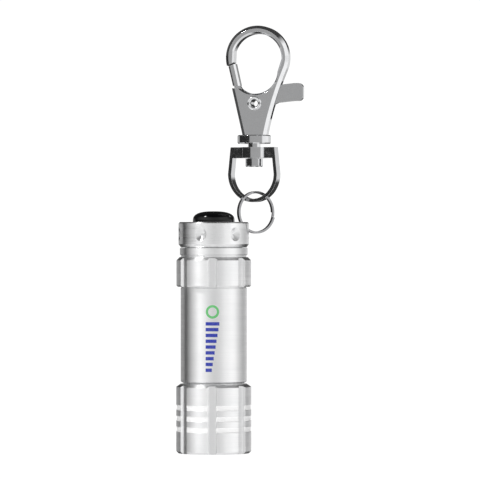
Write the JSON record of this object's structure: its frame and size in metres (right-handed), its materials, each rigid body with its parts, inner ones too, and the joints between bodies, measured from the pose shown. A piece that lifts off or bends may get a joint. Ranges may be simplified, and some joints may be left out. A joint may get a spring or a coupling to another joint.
{
  "type": "keychain flashlight",
  "caption": "Slim turned-aluminium pocket torch with fluted grips, rubber tail switch, split ring and swivel snap hook.",
  "frame": {"origin": "centre of the head's front rim plane, on the torch's axis", "axes": "+Z from the lens along the torch to the snap hook, +X towards the side the clasp is on, front faces -Y"},
  "size_m": [0.0307, 0.018, 0.1026],
  "materials": {
    "aluminium": "turned and clear-anodised, satin",
    "clear": "clear polycarbonate, polished",
    "seal": "matte black nitrile",
    "reflector": "vacuum-metallised plastic, mirror bright",
    "led": "clear epoxy, polished",
    "board": "green solder mask",
    "component": "black ceramic",
    "spring": "nickel-plated wire",
    "cell": "nickel-plated steel, satin",
    "gasket": "moulded nylon",
    "sleeve": "white moulded plastic",
    "boot_rubber": "glossy black silicone rubber",
    "switch_plastic": "black moulded plastic",
    "contact_brass": "stamped, bright",
    "ring_steel": "nickel-plated spring steel",
    "chrome": "polished nickel-chrome plating",
    "print_ink": "pad-printed ink, slightly glossy"
  },
  "bodies": {
    "hook": {"hook_body": "chrome", "swivel_pin": "chrome", "pivot_rivet": "chrome", "gate_spring": "spring"},
    "lever": {"gate_lever": "chrome"},
    "eye": {"swivel_eye": "chrome"},
    "ring": {"split_ring": "ring_steel"},
    "tail_cap": {"tail_cap": "aluminium", "boot_retainer": "switch_plastic", "switch_housing": "switch_plastic", "switch_spring": "spring", "switch_contact_plate": "contact_brass"},
    "button": {"button_boot": "boot_rubber", "switch_plunger": "switch_plastic"},
    "contact_spring": {"tail_contact_spring": "spring"},
    "barrel": {"barrel": "aluminium", "battery_sleeve": "sleeve", "battery_cell_1": "cell", "battery_cell_2": "cell", "battery_cell_3": "cell", "battery_cell_4": "cell", "cell_gaskets": "gasket", "head_oring": "seal", "tail_oring": "seal"},
    "light_unit": {"reflector": "reflector", "led_1": "led", "led_2": "led", "led_3": "led", "circuit_board": "board", "board_resistor": "component", "board_contact_spring": "spring"},
    "head": {"head_bezel": "aluminium", "lens": "clear", "lens_oring": "seal"}
  },
  "joints": [
    {"name": "gate_pivot", "type": "hinge", "parent": "hook", "child": "lever", "pos_m": [0.01016, 0.00176, 0.0839], "axis": [0.2079, 0.9781, 0], "range_deg": [0, 24], "stiffness_Nm_per_rad": 0.02, "springref_deg": -8.59},
    {"name": "eye_swivel", "type": "hinge", "parent": "hook", "child": "eye", "pos_m": [0.00972, 0.00185, 0.072], "axis": [0, 0, 1], "continuous": true},
    {"name": "ring_swing", "type": "hinge", "parent": "eye", "child": "ring", "pos_m": [0.00972, 0.00185, 0.0606], "axis": [0.9455, -0.3256, 0], "range_deg": [-30, 30]},
    {"name": "torch_swing", "type": "hinge", "parent": "ring", "child": "tail_cap", "pos_m": [0.0099, 0.00185, 0.05775], "axis": [0.5225, -0.8526, 0], "range_deg": [-10, 60]},
    {"name": "button_press", "type": "slide", "parent": "tail_cap", "child": "button", "axis": [0, 0, -1], "range_m": [0, 0.001], "stiffness_N_per_m": 1500, "springref_m": -0.0006, "deforming": ["button_boot", "switch_spring"]},
    {"name": "cap_travel", "type": "slide", "parent": "tail_cap", "child": "contact_spring", "axis": [0, 0, -1], "range_m": [0, 0.0024], "deforming": ["tail_contact_spring"]},
    {"name": "cap_turn", "type": "hinge", "parent": "contact_spring", "child": "barrel", "pos_m": [0, 0, 0.045], "axis": [0, 0, -1], "range_deg": [0, 1080]},
    {"name": "head_travel", "type": "slide", "parent": "barrel", "child": "light_unit", "axis": [0, 0, -1], "range_m": [0, 0.0024]},
    {"name": "head_turn", "type": "hinge", "parent": "light_unit", "child": "head", "pos_m": [0, 0, 0.008], "axis": [0, 0, -1], "range_deg": [0, 1080]}
  ],
  "couplings": [
    {"joint": "cap_turn", "follows": "cap_travel", "rad_per_m": 7854},
    {"joint": "head_turn", "follows": "head_travel", "rad_per_m": 7854}
  ]
}
